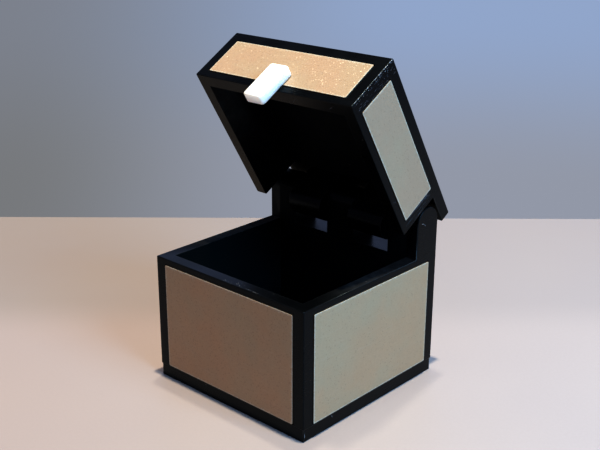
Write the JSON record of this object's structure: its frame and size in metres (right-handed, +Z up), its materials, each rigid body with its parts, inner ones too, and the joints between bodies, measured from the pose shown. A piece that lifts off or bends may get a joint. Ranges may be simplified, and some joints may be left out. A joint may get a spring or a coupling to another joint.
{
  "type": "hinged box",
  "caption": "Cube-shaped box with a framed body, inlaid panels and a hinged lid with a pull tab, shown with the lid standing open.",
  "frame": {"origin": "centre of the base's underside, on the surface the box stands on", "axes": "+X to the right when facing the latch, +Y from the latch side towards the hinge, +Z up"},
  "size_m": [0.076, 0.0827, 0.1283],
  "materials": {
    "frame_black": "satin black printed plastic with faint layer lines",
    "panel_tan": "tan plastic with a fine sparkling grain",
    "latch_white": "smooth satin white plastic",
    "rod_steel": "plain drawn wire"
  },
  "bodies": {
    "base": {"base_body": "frame_black", "base_front_panel": "panel_tan", "base_rear_panel": "panel_tan", "base_left_panel": "panel_tan", "base_right_panel": "panel_tan", "hinge_rod": "rod_steel"},
    "lid": {"lid_shell": "frame_black", "lid_front_panel": "panel_tan", "lid_left_panel": "panel_tan", "lid_right_panel": "panel_tan", "lid_top_panel": "panel_tan", "latch_tab": "latch_white"}
  },
  "joints": [
    {"name": "lid_hinge", "type": "hinge", "parent": "base", "child": "lid", "pos_m": [0, 0.03125, 0.0632], "axis": [-1, 0, 0], "range_deg": [-59.3, 35.7]}
  ]
}
